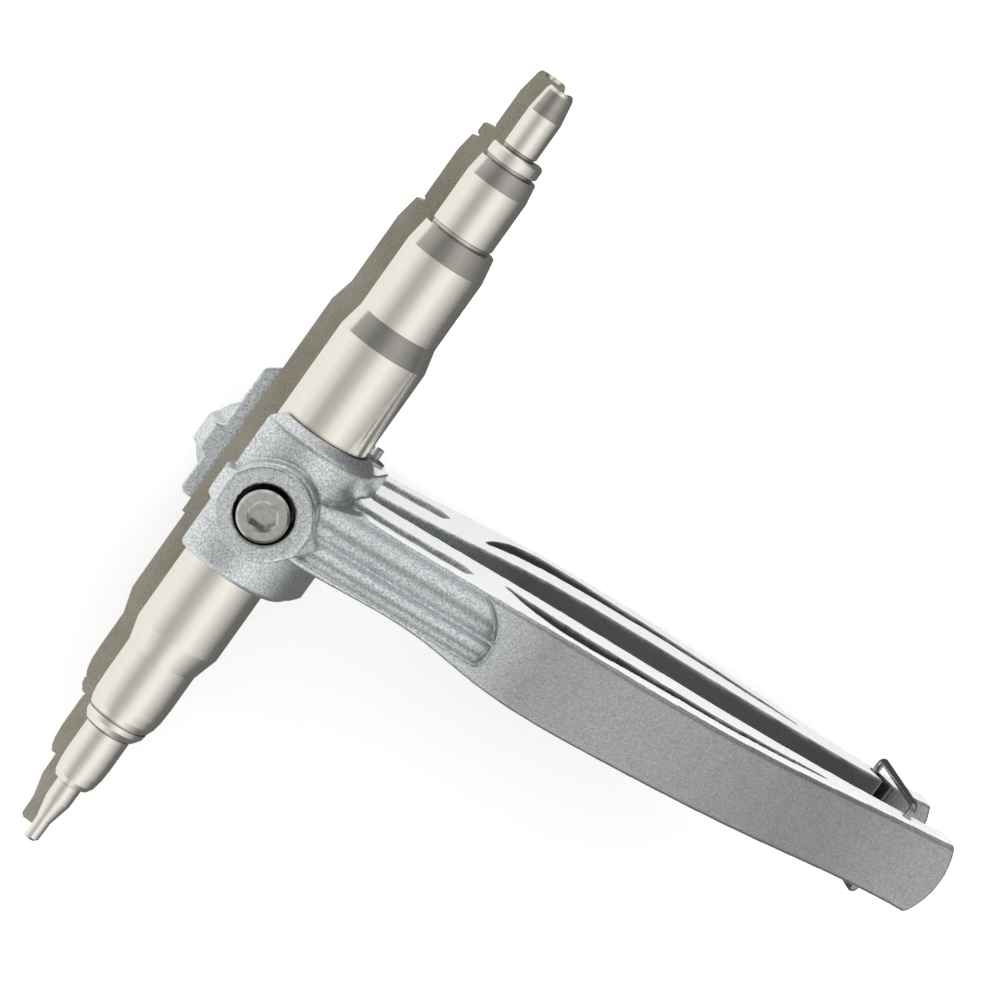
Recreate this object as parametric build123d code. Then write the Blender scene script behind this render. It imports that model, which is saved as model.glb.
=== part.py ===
from build123d import *
from math import atan2, degrees
import os

# Driving sizes in millimetres
HANDLE_REACH = 154.8
NOSE_LENGTH = 13.6
TAIL_LENGTH = 14.1
HALF_SPREAD_DEG = 19.2
SPLIT_GAP = 0.3
SEAT_R = 10.2
TAIL_SEAT_R = 9.5
SEAT_START = -15.0
PIN_D = 3.0
PIN_TIP_D = 1.6
KNUCKLE_WALL = 2.1
SCREW_D = 6.0
SCREW_LENGTH = 10.0
SCREW_TILT_DEG = 32.2
SCREW_Y = -0.6
SADDLE_WALL = 3.5
SADDLE_FLOOR = 2.0
LIP_LIFT = 2.7
BOSS_WALL = 3.5
BOSS_EAR = 1.65
HEAD_STAND = 2.1
WASHER_T = 1.4
CLIP_T = 0.6
CLIP_WIDTH = 0.9
WIRE_D = 1.5
WIRE_BEND = 1.3

# Fits
PIN_PLAY = 0.05
SEAT_PLAY = 0.04
THREAD_PLAY = 0.05
SHANK_PLAY = 0.3
HEAD_PLAY = 0.75
SIDE_GAP = 0.35
KNUCKLE_GAP = 0.4
CLIP_GAP = 0.1
BAIL_PLAY = 0.08
SLOT_PLAY = 0.35
BAIL_LOW_GAP = 0.95
BAIL_HIGH_GAP = 1.75

# Sizes that follow from them
KNUCKLE_R = PIN_D / 2 + KNUCKLE_WALL
HINGE_X = SEAT_R + KNUCKLE_GAP + KNUCKLE_R
SADDLE_R = SEAT_R + SADDLE_WALL
HEAD_R = SCREW_D * 0.85
HEAD_H = SCREW_D
SOCKET_AF = SCREW_D * 5 / 6
CBORE_R = HEAD_R + HEAD_PLAY
CBORE_FLOOR = SEAT_R + SADDLE_FLOOR
HEAD_SEAT = CBORE_FLOOR + WASHER_T
BOSS_TOP = HEAD_SEAT + HEAD_H - HEAD_STAND
BOSS_R = CBORE_R + BOSS_WALL
WIRE_R = WIRE_D / 2
SLOT_R = WIRE_R + SLOT_PLAY
CLIP_R = PIN_D / 2 + CLIP_WIDTH

# Cutting bodies reach past the whole part
FAR = HANDLE_REACH + 20

# Hub spans along the mandrel, and the knuckles of the two castings
UPPER_HUB = (-16.0, 16.2)
LOWER_HUB = (-12.6, 18.6)
MID_KNUCKLE = (-7.0, 5.25)
LOW_KNUCKLE = (UPPER_HUB[0] + 0.6, MID_KNUCKLE[0] - SIDE_GAP)
HIGH_KNUCKLE = (MID_KNUCKLE[1] + SIDE_GAP, UPPER_HUB[1] - 1.6)
PIN_SPAN = (LOW_KNUCKLE[0] + 0.2, HIGH_KNUCKLE[1] + 3.0)

# Mandrel turning profile, position along the axis and radius
TAIL_END = -68.8 - TAIL_LENGTH
NOSE_END = 81.0 + NOSE_LENGTH
MANDREL = [
    (TAIL_END, 0.0),
    (TAIL_END, 1.0),
    (TAIL_END + 0.6, 1.6),
    (TAIL_END + 4.6, 1.7),
    (-73.4, 2.85),
    (-68.8, 2.9),
    (-68.8, 3.9),
    (-67.6, 4.6),
    (-65.4, 5.0),
    (-62.8, 5.15),
    (-56.1, 5.15),
    (-55.9, 5.0),
    (-55.6, 5.0),
    (-55.6, 5.7),
    (-54.2, 6.7),
    (-53.0, 6.9),
    (-52.9, 6.65),
    (-52.6, 6.65),
    (-52.5, 6.95),
    (-51.2, 7.5),
    (-49.3, 7.85),
    (-46.0, 8.0),
    (-38.1, 8.0),
    (-32.9, TAIL_SEAT_R),
    (SEAT_START, TAIL_SEAT_R),
    (SEAT_START, SEAT_R),
    (35.7, SEAT_R),
    (40.7, 9.05),
    (56.1, 9.05),
    (61.0, 8.2),
    (61.1, 6.7),
    (61.8, 6.7),
    (62.0, 7.1),
    (73.2, 7.1),
    (77.0, 6.5),
    (77.1, 5.35),
    (77.7, 5.35),
    (77.8, 5.85),
    (78.1, 6.0),
    (79.9, 6.0),
    (80.3, 5.7),
    (80.3, 3.6),
    (80.8, 3.6),
    (81.0, 3.9),
    (NOSE_END - 5.6, 3.9),
    (NOSE_END - 0.7, 3.1),
    (NOSE_END, 2.7),
    (NOSE_END, 1.8),
    (NOSE_END - 0.5, 1.5),
    (NOSE_END - 0.5, 0.0),
]

# Plan and side outlines of one handle in the held position
NECK_HIGH = [
    (2.0, 5.8),
    (7.4, 6.4),
    (10.6, 7.7),
    (12.9, 9.2),
]
PLAN_HIGH = [
    NECK_HIGH[-1],
    (34.0, 10.0),
    (52.2, 11.2),
    (92.0, 12.4),
    (128.8, 13.5),
    (HANDLE_REACH - 2.0, 15.1),
]
PLAN_LOW = [
    (2.0, -6.2),
    (16.0, -5.5),
    (34.0, -4.5),
    (48.0, -5.85),
    (74.5, -5.3),
    (117.0, -3.4),
    (HANDLE_REACH - 2.4, -1.7),
]
PLAN_TIP = (HANDLE_REACH, 5.2)
SIDE_OUT = [
    (0.0, 19.8),
    (14.7, 22.0),
    (45.0, 25.8),
    (72.0, 28.4),
    (92.0, 27.0),
    (115.0, 22.0),
    (130.0, 17.6),
    (HANDLE_REACH + 1.2, 14.0),
]
SIDE_IN = [
    (11.0, 3.4),
    (19.5, 3.4),
    (38.9, 5.6),
    (58.0, 8.5),
    (85.0, 9.8),
    (120.0, 9.0),
    (HANDLE_REACH + 1.2, 7.6),
]
SIDE_ROOT = (0.0, 10.5)
RIM_BREAK = 0.7

# Hollows in the flanks, and the two flutes on the back of the arm
LONG_TOP = [(46.0, 12.0), (50.0, 18.6), (54.5, 22.4), (75.0, 23.3), (94.0, 21.6), (116.0, 17.0), (125.0, 14.2)]
LONG_LOW = [(46.0, 12.0), (55.7, 15.9), (75.0, 17.8), (95.0, 18.0), (117.0, 15.2), (125.0, 14.2)]
LONG_DEPTH = 4.6
ARM_GROOVE = [(12.0, 17.8), (36.0, 19.4), (38.6, 16.6), (36.0, 13.6), (12.0, 12.0)]
ARM_DEPTH = 1.8
FLUTES = [(5.3, 7.4, 2.6), (-1.2, 5.0, 2.0)]
FLUTE_MID_X = 25.0
FLUTE_TURN_DEG = 2.8
FLUTE_END = (38.2, 1.0)
FLUTE_END_R = 9.0

# Wire bail, held position of its pivot and of its cross bar
PIVOT = (HANDLE_REACH - 12.5, 10.4)
BAR = (HANDLE_REACH - 14.2, -12.4)
BAIL_SWING_RATIO = 2.0


def xz_prism(outline, y0, y1):
    plane = Plane(origin=(0, y1, 0), x_dir=(1, 0, 0), z_dir=(0, -1, 0))
    return extrude(plane * make_face(outline), amount=y1 - y0)


def rod_y(x, z, radius, y0=-FAR, y1=FAR):
    return Pos(x, (y0 + y1) / 2, z) * Rot(90, 0, 0) * Cylinder(radius, y1 - y0)


def block(x0, x1, y0, y1, z0, z1):
    return Pos((x0 + x1) / 2, (y0 + y1) / 2, (z0 + z1) / 2) * Box(x1 - x0, y1 - y0, z1 - z0)


def to_rest(shape):
    return shape.rotate(Axis((HINGE_X, 0, 0), (0, 1, 0)), HALF_SPREAD_DEG)


def along_screw(shape):
    return Pos(0, SCREW_Y, 0) * shape.rotate(Axis((0, 0, 0), (0, 1, 0)), -SCREW_TILT_DEG)


def lower(shape):
    return mirror(shape, about=Plane.XY)


def turned(points):
    outline = Polyline([(radius, y, 0) for y, radius in points], close=True)
    return revolve(make_face(outline), Axis.Y, 360)


# Mandrel, screws and washers, drawn with the halves closed and then spread
def half_mandrel():
    body = turned(MANDREL) & block(-FAR, FAR, -FAR, FAR, SPLIT_GAP / 2, FAR)
    bottom = HEAD_SEAT - SCREW_LENGTH - 0.4
    hole = Pos(0, 0, bottom + SCREW_LENGTH) * Cylinder(SCREW_D / 2 + THREAD_PLAY, 2 * SCREW_LENGTH)
    return to_rest(body - along_screw(hole))


def cap_screw():
    top = HEAD_SEAT + HEAD_H
    head = Pos(0, 0, HEAD_SEAT + HEAD_H / 2) * Cylinder(HEAD_R, HEAD_H)
    head = chamfer(head.edges().sort_by(Axis.Z)[-1], 0.5)
    shank = Pos(0, 0, HEAD_SEAT - SCREW_LENGTH / 2) * Cylinder(SCREW_D / 2, SCREW_LENGTH)
    shank = chamfer(shank.edges().sort_by(Axis.Z)[0], 0.6)
    socket = extrude(RegularPolygon(SOCKET_AF / 2, 6, major_radius=False), amount=HEAD_H / 2)
    mouth = Pos(0, 0, top - 0.2) * Cone(SOCKET_AF * 0.45, SOCKET_AF * 0.61, 0.4)
    socket = Pos(0, 0, top - HEAD_H / 2) * socket + mouth
    return to_rest(along_screw(head + shank - socket))


def spring_washer():
    ring = Cylinder(HEAD_R, WASHER_T - 0.04) - Cylinder(SCREW_D / 2 + 0.2, WASHER_T)
    split = Pos(HEAD_R * 0.75, 0, 0) * Rot(25, 0, 0) * Box(HEAD_R, 0.5, WASHER_T * 2)
    return to_rest(along_screw(Pos(0, 0, CBORE_FLOOR + WASHER_T / 2) * (ring - split)))


# Castings
def saddle(hub):
    y0, y1 = hub
    rim = [(y0, 0), (y0, SADDLE_R - 0.9), (y0 + 0.9, SADDLE_R), (y1 - 2.2, SADDLE_R)]
    rim += [(y1 - 1.6, SADDLE_R - 0.5), (y1, SEAT_R + 0.9), (y1, 0)]
    return turned(rim) & block(-FAR, FAR, -FAR, FAR, SPLIT_GAP / 2, FAR)


def knuckle_web(y0, y1):
    foot = HINGE_X - 8.2
    crown = (HINGE_X - 2.1, 2.1 * KNUCKLE_R)
    back = (HINGE_X + KNUCKLE_R, KNUCKLE_R - 1.6)
    corners = [(foot, 0.15), (foot, 12), crown, back, (HINGE_X + KNUCKLE_R - 0.4, 0.15)]
    return xz_prism(Polyline(corners, close=True), y0, y1) + rod_y(HINGE_X, 0, KNUCKLE_R, y0, y1)


def boss():
    disc = Pos(0, 0, (8 + BOSS_TOP) / 2) * Cylinder(BOSS_R, BOSS_TOP - 8)
    step = Pos(0.3, 0.65, (BOSS_TOP + 6.5) / 2) * Cylinder(BOSS_R, BOSS_TOP - 9.5)
    reach = BOSS_R + BOSS_EAR
    plan = [(-3, -6), (0.9 - BOSS_R, -4.1), (-reach, -3), (-reach, 3.1), (0.9 - BOSS_R, 3.8), (-3, 6)]
    plan += [(BOSS_R - 1.2, 4.2), (BOSS_R + 3, -0.5), (BOSS_R - 1.7, -5.2)]
    low, high = BOSS_TOP - 2.5, BOSS_TOP
    side = [(-reach, 0), (-reach, low), (0.6 - BOSS_R, high), (BOSS_R - 0.6, high), (BOSS_R + 3, low), (BOSS_R + 3, 0)]
    ears = extrude(make_face(Polyline(plan, close=True)), amount=BOSS_TOP)
    return along_screw(disc + step + (ears & xz_prism(Polyline(side, close=True), -BOSS_R, BOSS_R)))


def screw_cut():
    bore = Pos(0, 0, CBORE_FLOOR + HEAD_H) * Cylinder(CBORE_R, 2 * HEAD_H)
    hole = Pos(0, 0, CBORE_FLOOR) * Cylinder(SCREW_D / 2 + SHANK_PLAY, SCREW_LENGTH)
    return along_screw(bore + hole)


def blade():
    neck = Polyline([Vector(x, y) for x, y in NECK_HIGH])
    high = Spline([Vector(x, y) for x, y in PLAN_HIGH])
    low = Spline([Vector(x, y) for x, y in PLAN_LOW])
    tip = ThreePointArc(Vector(*PLAN_LOW[-1]), Vector(*PLAN_TIP), Vector(*PLAN_HIGH[-1]))
    root = Line(Vector(*NECK_HIGH[0]), Vector(*PLAN_LOW[0]))
    plan = extrude(make_face([neck, high, low, tip, root]), amount=FAR)
    out = Spline([Vector(x, z) for x, z in SIDE_OUT])
    inner = Spline([Vector(x, z) for x, z in SIDE_IN])
    end = Line(Vector(*SIDE_OUT[-1]), Vector(*SIDE_IN[-1]))
    back = Polyline([SIDE_OUT[0], SIDE_ROOT, SIDE_IN[0]])
    return plan & xz_prism([out, inner, end, back], -FAR, FAR)


def web_core(depth):
    high = [(x, y - depth) for x, y in NECK_HIGH[:-1] + PLAN_HIGH]
    low = [(x, y + depth) for x, y in PLAN_LOW]
    core = Polyline(high + low[::-1], close=True)
    return extrude(make_face(core), amount=FAR)


def flank_grooves():
    top = Spline([Vector(x, z) for x, z in LONG_TOP])
    low = Spline([Vector(x, z) for x, z in LONG_LOW])
    long_cut = xz_prism([top, low], -FAR, FAR)
    arm_cut = xz_prism(Polyline(ARM_GROOVE, close=True), -FAR, FAR)
    return long_cut - web_core(LONG_DEPTH) + (arm_cut - web_core(ARM_DEPTH))


def flute_cuts():
    x, y = FLUTE_END
    area = block(-FAR, x, -FAR, FAR, 0, FAR) + Pos(x, y, 0) * Cylinder(FLUTE_END_R, FAR)
    (x0, z0), (x1, z1) = SIDE_OUT[1:3]
    slope = (z1 - z0) / (x1 - x0)
    height = z0 + (FLUTE_MID_X - x0) * slope
    cut = Part()
    for centre, width, depth in FLUTES:
        radius = (width * width / 4 + depth * depth) / (2 * depth)
        rod = Rot(0, 90, 0) * Cylinder(radius, FAR)
        rod = rod.rotate(Axis.Y, -degrees(atan2(slope, 1))).rotate(Axis.Z, FLUTE_TURN_DEG)
        cut += Pos(FLUTE_MID_X, centre, height - depth + radius) * rod & area
    return cut


def casting(hub, own, other):
    arm = blade()
    outer = arm.edges().filter_by(lambda e: e.length > HANDLE_REACH / 2).sort_by(Axis.Z)[-2:]
    arm = chamfer(outer, RIM_BREAK)
    arm = arm - flank_grooves() - flute_cuts()
    hub_part = saddle(hub) + boss()
    for y0, y1 in own:
        hub_part += knuckle_web(y0, y1)
    body = arm + to_rest(hub_part)
    split = block(-FAR, HINGE_X, -FAR, FAR, -FAR, SPLIT_GAP / 2) + block(-FAR, 0, -FAR, FAR, -FAR, LIP_LIFT)
    for y0, y1 in own:
        split -= rod_y(HINGE_X, 0, KNUCKLE_R, y0, y1)
    body -= to_rest(split)
    seat = rod_y(0, 0, SEAT_R + SEAT_PLAY, SEAT_START - 0.1, FAR)
    tail = rod_y(0, 0, TAIL_SEAT_R + SEAT_PLAY, -FAR, SEAT_START)
    body -= to_rest(seat + tail + screw_cut())
    body -= rod_y(HINGE_X, 0, CLIP_R + KNUCKLE_GAP, HIGH_KNUCKLE[1], FAR)
    for y0, y1 in other:
        body -= rod_y(HINGE_X, 0, KNUCKLE_R + KNUCKLE_GAP, y0 - SIDE_GAP, y1 + SIDE_GAP)
    return body - rod_y(HINGE_X, 0, PIN_D / 2 + PIN_PLAY)


def upper_handle():
    body = casting(UPPER_HUB, [LOW_KNUCKLE, HIGH_KNUCKLE], [MID_KNUCKLE])
    return body - rod_y(*PIVOT, WIRE_R + BAIL_PLAY)


def lower_handle():
    low = (LOWER_HUB[0] - KNUCKLE_R, LOW_KNUCKLE[1])
    high = (HIGH_KNUCKLE[0], LOWER_HUB[1] + KNUCKLE_R)
    body = lower(casting(LOWER_HUB, [MID_KNUCKLE], [low, high]))
    return body - bar_slot()


def side_at(outline, x):
    pairs = list(zip(outline, outline[1:]))
    (x0, y0), (x1, y1) = next((pair for pair in pairs if x <= pair[1][0]), pairs[-1])
    return y0 + (y1 - y0) * (x - x0) / (x1 - x0)


def bar_slot():
    x, z = BAR
    top = WIRE_D - side_at(SIDE_IN, x)
    turns = BAIL_SWING_RATIO + 1
    rise = turns * (x - PIVOT[0]) + PIVOT[0] - HINGE_X
    run = turns * (PIVOT[1] - z) - PIVOT[1]
    shift = (top - z) * run / rise
    corners = [(x - SLOT_R, z), (x - SLOT_R + shift, top), (x + SLOT_R + shift, top), (x + SLOT_R, z)]
    return xz_prism(Polyline(corners, close=True), -FAR, FAR) + rod_y(x, z, SLOT_R)


# Hinge pin with its clip, and the wire bail
def hinge_pin():
    start, end = PIN_SPAN
    shoulder = HIGH_KNUCKLE[1] + CLIP_GAP + CLIP_T + 0.2
    body = rod_y(HINGE_X, 0, PIN_D / 2, start, shoulder) + rod_y(HINGE_X, 0, PIN_TIP_D / 2, shoulder, end)
    return body - rod_y(HINGE_X, 0, PIN_TIP_D / 4, end - 0.5, FAR)


def pin_clip():
    y = HIGH_KNUCKLE[1] + CLIP_GAP
    return rod_y(HINGE_X, 0, CLIP_R, y, y + CLIP_T) - rod_y(HINGE_X, 0, PIN_D / 2 + 0.02)


def bail():
    y_low = side_at(PLAN_LOW, PIVOT[0]) - BAIL_LOW_GAP - WIRE_R
    y_high = side_at(PLAN_HIGH, PIVOT[0]) + BAIL_HIGH_GAP + WIRE_R
    down = Vector(BAR[0] - PIVOT[0], 0, BAR[1] - PIVOT[1])
    wide = (y_high - y_low) / 2
    tall = down.length / 2
    ring = Part()
    for turn, x, y in ((0, wide, tall), (90, tall, wide), (180, wide, tall), (270, tall, wide)):
        corner = Pos(x - WIRE_BEND, y - WIRE_BEND, 0) * Torus(WIRE_BEND, WIRE_R, major_angle=90, align=None)
        side = Pos(x, 0, 0) * Rot(90, 0, 0) * Cylinder(WIRE_R, 2 * (y - WIRE_BEND))
        ring += Rot(0, 0, turn) * (corner + side)
    middle = Vector((PIVOT[0] + BAR[0]) / 2, (y_low + y_high) / 2, (PIVOT[1] + BAR[1]) / 2)
    return Plane(origin=middle, x_dir=(0, 1, 0), z_dir=down.cross(Vector(0, 1, 0))) * ring


NODES = {
    "upper_handle": upper_handle,
    "lower_handle": lower_handle,
    "upper_half_mandrel": half_mandrel,
    "lower_half_mandrel": lambda: lower(half_mandrel()),
    "upper_cap_screw": cap_screw,
    "lower_cap_screw": lambda: lower(cap_screw()),
    "upper_spring_washer": spring_washer,
    "lower_spring_washer": lambda: lower(spring_washer()),
    "hinge_pin": hinge_pin,
    "pin_clip": pin_clip,
    "wire_bail": bail,
}

os.makedirs("parts", exist_ok=True)
for name, make in NODES.items():
    export_step(make(), f"parts/{name}.step")
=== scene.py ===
from math import cos, pi, sin

import bmesh
import bpy
from mathutils import Matrix, Vector


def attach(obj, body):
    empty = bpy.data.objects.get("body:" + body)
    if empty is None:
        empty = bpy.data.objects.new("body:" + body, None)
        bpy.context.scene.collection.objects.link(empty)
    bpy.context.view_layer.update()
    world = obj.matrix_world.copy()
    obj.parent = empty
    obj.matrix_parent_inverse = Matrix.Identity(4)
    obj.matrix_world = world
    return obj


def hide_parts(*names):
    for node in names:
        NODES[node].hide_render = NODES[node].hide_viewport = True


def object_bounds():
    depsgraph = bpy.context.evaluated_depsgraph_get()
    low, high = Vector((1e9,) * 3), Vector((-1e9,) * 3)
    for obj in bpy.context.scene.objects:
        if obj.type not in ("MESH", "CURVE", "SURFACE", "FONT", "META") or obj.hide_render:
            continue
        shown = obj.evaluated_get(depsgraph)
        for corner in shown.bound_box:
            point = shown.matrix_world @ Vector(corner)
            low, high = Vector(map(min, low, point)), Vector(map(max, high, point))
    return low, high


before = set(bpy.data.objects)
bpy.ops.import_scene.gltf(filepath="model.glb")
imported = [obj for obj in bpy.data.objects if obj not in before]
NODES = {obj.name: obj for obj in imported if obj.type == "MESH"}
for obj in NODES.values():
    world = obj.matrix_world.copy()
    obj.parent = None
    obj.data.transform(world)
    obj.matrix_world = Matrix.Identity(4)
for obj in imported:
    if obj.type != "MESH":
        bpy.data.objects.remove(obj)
CAD_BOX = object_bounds()
MM = 0.001

# Camera, in millimetres of the row frame
TARGET = Vector((39.41, 21.83, 0.0)) * MM
TOWARDS_CAMERA = Vector((-0.31174, 0.19065, 1.0)).normalized()
CAMERA_ROLL = 0.62493
CAMERA_DISTANCE = 0.98447
CAMERA_LENS = 184.31
CAMERA_SENSOR = 36.0

# Split mandrel at rest
HINGE = Vector((14.2, 0.0, 0.0)) * MM
HALF_SPREAD = 19.2 * pi / 180

# Rounding of the castings
CAST_GRID = 0.00034
CAST_ROUNDS = 5

# Light of the tent by angle in degrees
TENT = [
    (-180, 0.85),
    (-74, 0.84),
    (-54, 0.645),
    (-34, 0.40),
    (-14, 0.49),
    (6, 0.81),
    (26, 0.90),
    (46, 0.68),
    (66, 0.47),
    (86, 0.26),
    (126, 0.13),
    (180, 0.30),
]
TENT_STRENGTH = 1.1

# Share of that light by how far the direction points along +Y
TENT_SIDES = [(-1, 1.0), (0.0, 1.0), (0.12, 0.36), (0.5, 0.36), (0.75, 1.0)]

# Straight lines near the two flanks of the handles, y at x = 0 and slope
FLANK_HIGH = (0.0076, 0.041)
FLANK_LOW = (-0.0049, 0.028)


def set_camera():
    side = Vector((0, 1, 0)).cross(TOWARDS_CAMERA).normalized()
    over = TOWARDS_CAMERA.cross(side)
    right = cos(CAMERA_ROLL) * side + sin(CAMERA_ROLL) * over
    up = cos(CAMERA_ROLL) * over - sin(CAMERA_ROLL) * side
    data = bpy.data.cameras.new("camera")
    data.lens = CAMERA_LENS
    data.sensor_width = CAMERA_SENSOR
    data.clip_start = 0.05
    data.clip_end = 10
    camera = bpy.data.objects.new("camera", data)
    bpy.context.scene.collection.objects.link(camera)
    turn = Matrix((right, up, TOWARDS_CAMERA)).transposed().to_4x4()
    camera.matrix_world = Matrix.Translation(TARGET + TOWARDS_CAMERA * CAMERA_DISTANCE) @ turn
    bpy.context.scene.camera = camera


# Shader helpers
class Shader:
    def __init__(self, name):
        self.material = bpy.data.materials.new(name)
        self.material.use_nodes = True
        self.tree = self.material.node_tree
        self.base = self.tree.nodes["Principled BSDF"]
        self.coords = self.add("ShaderNodeTexCoord").outputs["Object"]

    def add(self, kind, **values):
        node = self.tree.nodes.new(kind)
        for key, value in values.items():
            setattr(node, key, value)
        return node

    def link(self, source, target):
        self.tree.links.new(source, target)

    def set(self, **values):
        for key, value in values.items():
            self.base.inputs[key.replace("_", " ")].default_value = value

    def math(self, operation, first, second=None, third=None, clamp=False):
        node = self.add("ShaderNodeMath", operation=operation, use_clamp=clamp)
        for socket, value in zip(node.inputs, (first, second, third)):
            if value is None:
                continue
            if isinstance(value, (int, float)):
                socket.default_value = value
            else:
                self.link(value, socket)
        return node.outputs[0]

    def noise(self, scale, detail=2.0, rough=0.5, vector=None):
        node = self.add("ShaderNodeTexNoise")
        node.inputs["Scale"].default_value = scale
        node.inputs["Detail"].default_value = detail
        node.inputs["Roughness"].default_value = rough
        self.link(vector or self.coords, node.inputs["Vector"])
        return node.outputs["Fac"]

    def cells(self, scale):
        node = self.add("ShaderNodeTexVoronoi")
        node.inputs["Scale"].default_value = scale
        self.link(self.coords, node.inputs["Vector"])
        return node

    def ramp(self, value, stops):
        node = self.add("ShaderNodeValToRGB")
        ramp = node.color_ramp
        while len(ramp.elements) < len(stops):
            ramp.elements.new(0.5)
        for element, (place, colour) in zip(ramp.elements, stops):
            element.position = place
            element.color = (*colour, 1) if len(colour) == 3 else colour
        self.link(value, node.inputs["Fac"])
        return node.outputs["Color"]

    def spread(self, value, low, high, to_low=0.0, to_high=1.0):
        node = self.add("ShaderNodeMapRange")
        for socket, number in zip(node.inputs[1:5], (low, high, to_low, to_high)):
            socket.default_value = number
        self.link(value, node.inputs[0])
        return node.outputs[0]

    def mix(self, share, first, second):
        node = self.add("ShaderNodeMix", data_type="RGBA")
        self.link(share, node.inputs["Factor"])
        for socket, value in zip(node.inputs[6:8], (first, second)):
            if isinstance(value, tuple):
                socket.default_value = (*value, 1)
            else:
                self.link(value, socket)
        return node.outputs[2]

    def scale(self, colour, share):
        node = self.add("ShaderNodeVectorMath", operation="SCALE")
        self.link(colour, node.inputs[0])
        self.link(share, node.inputs["Scale"])
        return node.outputs[0]

    def mix_value(self, share, first, second):
        node = self.add("ShaderNodeMix", data_type="FLOAT")
        for socket, value in zip(node.inputs[0:1] + node.inputs[2:4], (share, first, second)):
            self.link(value, socket)
        return node.outputs[0]

    def parts(self, vector):
        node = self.add("ShaderNodeSeparateXYZ")
        self.link(vector, node.inputs[0])
        return node.outputs

    # Painted shade: darkens colour in corners, grooves and gaps by ambient occlusion
    def painted_corner_shade(self, reach, darkest):
        node = self.add("ShaderNodeAmbientOcclusion", samples=8)
        node.inputs["Distance"].default_value = reach
        return self.spread(node.outputs["AO"], 0.35, 0.95, darkest, 1.0)

    def bump(self, height, distance, strength=1.0, under=None):
        node = self.add("ShaderNodeBump")
        node.inputs["Strength"].default_value = strength
        node.inputs["Distance"].default_value = distance
        self.link(height, node.inputs["Height"])
        if under is not None:
            self.link(under, node.inputs["Normal"])
        return node.outputs["Normal"]

    def finish(self, colour=None, rough=None, normal=None):
        for value, name in ((colour, "Base Color"), (rough, "Roughness"), (normal, "Normal")):
            if value is not None:
                self.link(value, self.base.inputs[name])
        return self.material


# Blasted castings with painted light: coloured brighter at the hub and darker along the handle, and a
# painted highlight on the flanks, whiter and less metallic where they face ±Y
def cast_metal():
    s = Shader("cast_metal")
    x, y = s.parts(s.coords)[:2]
    facing = s.math("ABSOLUTE", s.parts(s.add("ShaderNodeNewGeometry").outputs["Normal"])[1])
    high = s.math("SUBTRACT", y, s.math("MULTIPLY_ADD", x, FLANK_HIGH[1], FLANK_HIGH[0]))
    low = s.math("SUBTRACT", s.math("MULTIPLY_ADD", x, FLANK_LOW[1], FLANK_LOW[0]), y)
    edge = s.spread(s.math("MAXIMUM", high, low), -0.0002, 0.0002)
    # Painted highlight: flank faces that face ±Y get a whiter, less metallic colour, so the flank lamp
    # lights them white
    lit_flank = s.math("MULTIPLY", edge, s.spread(facing, 0.75, 0.93))
    lit_flank = s.math("MULTIPLY", lit_flank, s.spread(x, 0.0125, 0.0145))
    handle = s.spread(x, 0.038, 0.056)
    grain = s.noise(2300, detail=2, rough=0.75)
    cloud = s.noise(70, detail=3)
    coarse = s.math("MULTIPLY", s.spread(grain, 0.3, 0.7, 0.55, 1.3), s.spread(cloud, 0.3, 0.7, 0.94, 1.05))
    shade = s.mix_value(handle, coarse, s.spread(grain, 0.3, 0.7, 0.80, 1.18))
    # Painted shade in the corners and gaps of the casting
    shade = s.math("MULTIPLY", shade, s.painted_corner_shade(0.0016, 0.45))
    # Painted light: the hub is coloured bright and the handle darker, by position along X
    painted_light_tone = s.mix(handle, (0.86, 0.895, 0.905), (0.45, 0.455, 0.465))
    colour = s.mix(lit_flank, s.scale(painted_light_tone, shade), (0.93, 0.935, 0.93))
    s.link(s.spread(lit_flank, 0, 1, 1.0, 0.25), s.base.inputs["Metallic"])
    rough = s.spread(grain, 0.3, 0.7, 0.42, 0.30)
    normal = s.bump(grain, 0.00012, 0.5, s.bump(cloud, 0.0008, 0.25))
    return s.finish(colour, rough, normal)


def satin_nickel():
    s = Shader("satin_nickel")
    s.set(Metallic=1.0)
    stretch = s.add("ShaderNodeMapping")
    stretch.inputs["Scale"].default_value = (60, 2600, 60)
    s.link(s.coords, stretch.inputs["Vector"])
    rings = s.noise(1.0, detail=2, rough=0.5, vector=stretch.outputs[0])
    colour = s.ramp(rings, [(0.25, (0.90, 0.865, 0.775)), (0.75, (0.94, 0.91, 0.83))])
    rough = s.spread(rings, 0.2, 0.8, 0.18, 0.21)
    # Painted shade in the grooves and corners of the mandrel
    return s.finish(s.scale(colour, s.painted_corner_shade(0.0009, 0.25)), rough, s.bump(rings, 0.000002, 0.2))


def wire_cut():
    s = Shader("wire_cut")
    s.set(Metallic=1.0)
    grain = s.noise(3200, detail=2, rough=0.8)
    cloud = s.noise(90, detail=3)
    mottle = s.math("ADD", s.math("MULTIPLY", grain, 0.6), s.math("MULTIPLY", cloud, 0.4))
    colour = s.ramp(mottle, [(0.3, (0.40, 0.365, 0.295)), (0.7, (0.76, 0.72, 0.60))])
    return s.finish(colour, s.spread(grain, 0.3, 0.7, 0.5, 0.38), s.bump(grain, 0.00006, 0.5))


def plain_metal(name, colour, rough, scale, painted_corner_shade=0.0):
    s = Shader(name)
    s.set(Metallic=1.0)
    wear = s.noise(scale, detail=4)
    dark = tuple(0.75 * c for c in colour)
    worn_and_shaded = s.mix(s.spread(wear, 0.3, 0.7), dark, colour)
    # Painted shade in hollows such as the socket, only when a reach is given; the worn colour itself is
    # real wear
    if painted_corner_shade:
        worn_and_shaded = s.scale(worn_and_shaded, s.painted_corner_shade(painted_corner_shade, 0.12))
    return s.finish(worn_and_shaded, s.spread(wear, 0.3, 0.7, rough * 0.8, rough * 1.3), s.bump(wear, 0.00002, 0.2))


def paint(obj, *materials):
    obj.data.materials.clear()
    for material in materials:
        obj.data.materials.append(material)


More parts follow.
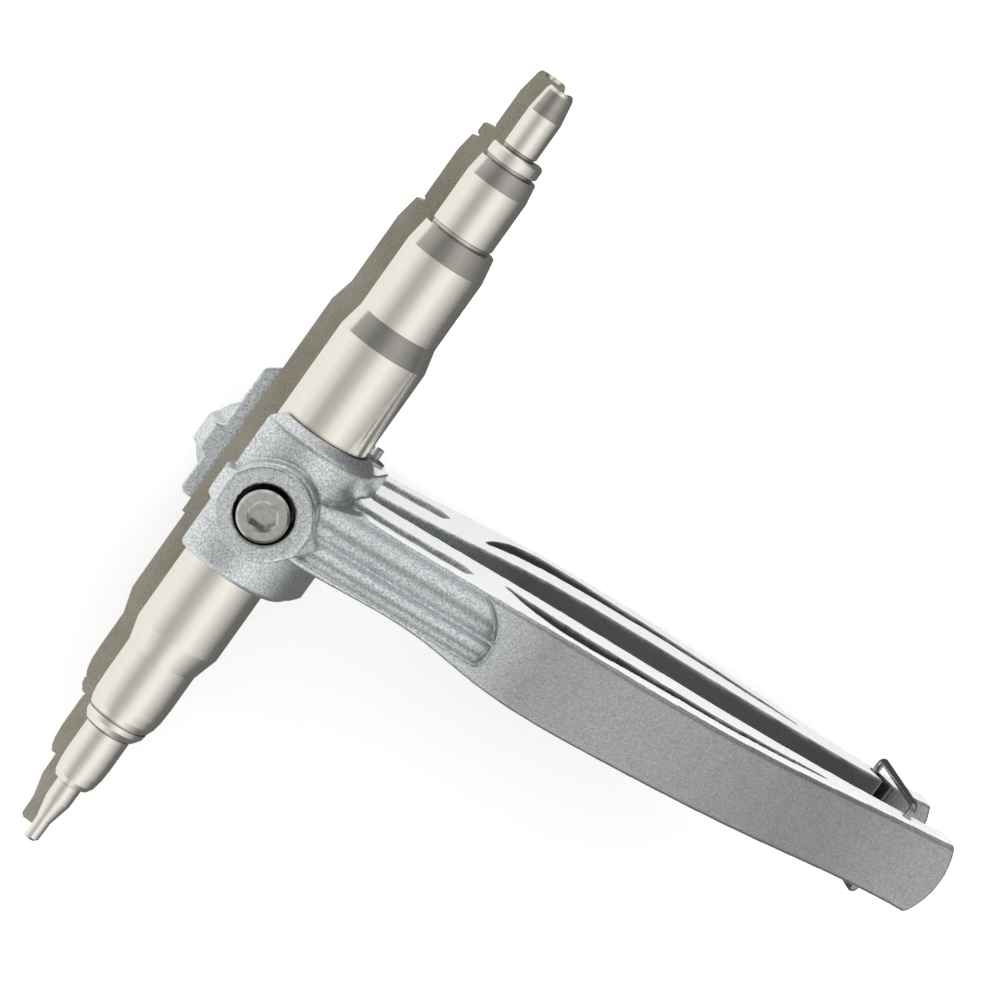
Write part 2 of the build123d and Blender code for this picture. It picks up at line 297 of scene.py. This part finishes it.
# Castings, as rounded copies of the CAD ones
def rounded_casting(name, body):
    source = NODES[name]
    mesh = source.data.copy()
    piece = bpy.data.objects.new("cast_" + name, mesh)
    bpy.context.scene.collection.objects.link(piece)
    remesh = piece.modifiers.new("grid", "REMESH")
    remesh.mode = "VOXEL"
    remesh.voxel_size = CAST_GRID
    smooth = piece.modifiers.new("round", "SMOOTH")
    smooth.factor = 0.5
    smooth.iterations = CAST_ROUNDS
    settled = piece.evaluated_get(bpy.context.evaluated_depsgraph_get())
    piece.data = bpy.data.meshes.new_from_object(settled)
    piece.modifiers.clear()
    piece.data.shade_smooth()
    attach(piece, body)
    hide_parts(name)
    return piece


# Split faces of the mandrel get their own material
def dress_mandrel(name, turned_metal, cut_metal, side):
    node = NODES[name]
    paint(node, turned_metal, cut_metal)
    towards = Vector((sin(HALF_SPREAD), 0, cos(HALF_SPREAD) * side)) * side
    for face in node.data.polygons:
        if face.normal.dot(towards) * side < -0.999:
            face.material_index = 1


def studio():
    low = CAD_BOX[0].z
    mesh = bpy.data.meshes.new("floor")
    reach = 3.0
    corners = [(-reach, -reach, low), (reach, -reach, low), (reach, reach, low), (-reach, reach, low)]
    mesh.from_pydata(corners, [], [(0, 1, 2, 3)])
    floor = bpy.data.objects.new("floor", mesh)
    bpy.context.scene.collection.objects.link(floor)
    paint(floor, paper())
    tent()
    lamp("key", (-0.35, 0.45, 0.9), 0.6, 1.5)
    lamp("flank", (0.15, 1.0, 0.25), 0.5, 9)


# White floor for the camera; in reflections it glows as a painted reflection, pale towards -X and dark
# beside the handles
def paper():
    s = Shader("paper")
    s.set(Roughness=1.0, Emission_Strength=1.0)
    rays = s.add("ShaderNodeLightPath").outputs
    along = s.add("ShaderNodeSeparateXYZ")
    s.link(s.coords, along.inputs[0])
    pale = s.spread(along.outputs[0], -0.02, 0.012, 0.88, 0.13)
    s.link(s.mix(rays["Is Glossy Ray"], (0.95, 0.95, 0.95), (0, 0, 0)), s.base.inputs["Base Color"])
    glow = s.mix(rays["Is Camera Ray"], (0, 0, 0), (0.45, 0.45, 0.45))
    s.link(s.mix(rays["Is Glossy Ray"], glow, pale), s.base.inputs["Emission Color"])
    return s.material


# A graded tent of light, by direction in the XZ plane from +Z towards +X
def tent():
    world = bpy.data.worlds.new("world")
    bpy.context.scene.world = world
    world.use_nodes = True
    tree = world.node_tree
    coords = tree.nodes.new("ShaderNodeTexCoord")
    split = tree.nodes.new("ShaderNodeSeparateXYZ")
    turn = tree.nodes.new("ShaderNodeMath")
    turn.operation = "ARCTAN2"
    share = tree.nodes.new("ShaderNodeMapRange")
    for socket, number in zip(share.inputs[1:5], (-pi, pi, 0, 1)):
        socket.default_value = number
    ramp = tree.nodes.new("ShaderNodeValToRGB")
    stops = ramp.color_ramp
    while len(stops.elements) < len(TENT):
        stops.elements.new(0.5)
    for stop, (angle, light) in zip(stops.elements, TENT):
        stop.position = (angle + 180) / 360
        stop.color = (light, light, light, 1)
    tree.links.new(coords.outputs["Generated"], split.inputs[0])
    tree.links.new(split.outputs["X"], turn.inputs[0])
    tree.links.new(split.outputs["Z"], turn.inputs[1])
    tree.links.new(turn.outputs[0], share.inputs[0])
    tree.links.new(share.outputs[0], ramp.inputs["Fac"])
    sides = tree.nodes.new("ShaderNodeMapRange")
    sides.inputs["From Min"].default_value = -1
    across = tree.nodes.new("ShaderNodeValToRGB")
    while len(across.color_ramp.elements) < len(TENT_SIDES):
        across.color_ramp.elements.new(0.5)
    for stop, (height, light) in zip(across.color_ramp.elements, TENT_SIDES):
        stop.position = (height + 1) / 2
        stop.color = (light, light, light, 1)
    tree.links.new(split.outputs["Y"], sides.inputs[0])
    tree.links.new(sides.outputs[0], across.inputs["Fac"])
    both = tree.nodes.new("ShaderNodeVectorMath")
    both.operation = "MULTIPLY"
    tree.links.new(ramp.outputs["Color"], both.inputs[0])
    tree.links.new(across.outputs["Color"], both.inputs[1])
    tree.links.new(both.outputs[0], tree.nodes["Background"].inputs["Color"])
    tree.nodes["Background"].inputs["Strength"].default_value = TENT_STRENGTH


# Lamps light what is dull and don't show in the bright metal
def lamp(name, place, size, power):
    data = bpy.data.lights.new(name, "AREA")
    data.size = size
    data.energy = power
    light = bpy.data.objects.new(name, data)
    light.visible_glossy = False
    bpy.context.scene.collection.objects.link(light)
    towards = Vector(place) - TARGET
    light.location = place
    light.rotation_mode = "QUATERNION"
    light.rotation_quaternion = towards.to_track_quat("Z", "Y")


def bevel(node, width):
    edge = node.modifiers.new("edge", "BEVEL")
    edge.width = width
    edge.segments = 2
    edge.limit_method = "ANGLE"
    edge.angle_limit = pi / 5
    edge.harden_normals = True


def dress_nodes():
    cast = cast_metal()
    nickel = satin_nickel()
    cut = wire_cut()
    bright = plain_metal("bright_metal", (0.66, 0.64, 0.60), 0.16, 900)
    wire = plain_metal("wire", (0.45, 0.44, 0.42), 0.25, 900)
    steel = plain_metal("steel", (0.5, 0.5, 0.5), 0.3, 700)
    for name, body in (("upper_handle", "upper"), ("lower_handle", "lower")):
        paint(NODES[name], cast)
        rounded_casting(name, body)
    dress_mandrel("upper_half_mandrel", nickel, cut, 1)
    dress_mandrel("lower_half_mandrel", nickel, cut, -1)
    for name in ("upper_cap_screw", "lower_cap_screw"):
        paint(NODES[name], bright)
    for name in ("upper_spring_washer", "lower_spring_washer", "hinge_pin", "pin_clip"):
        paint(NODES[name], steel)
    paint(NODES["wire_bail"], wire)


bpy.context.scene.view_settings.view_transform = "Standard"
set_camera()
studio()
dress_nodes()
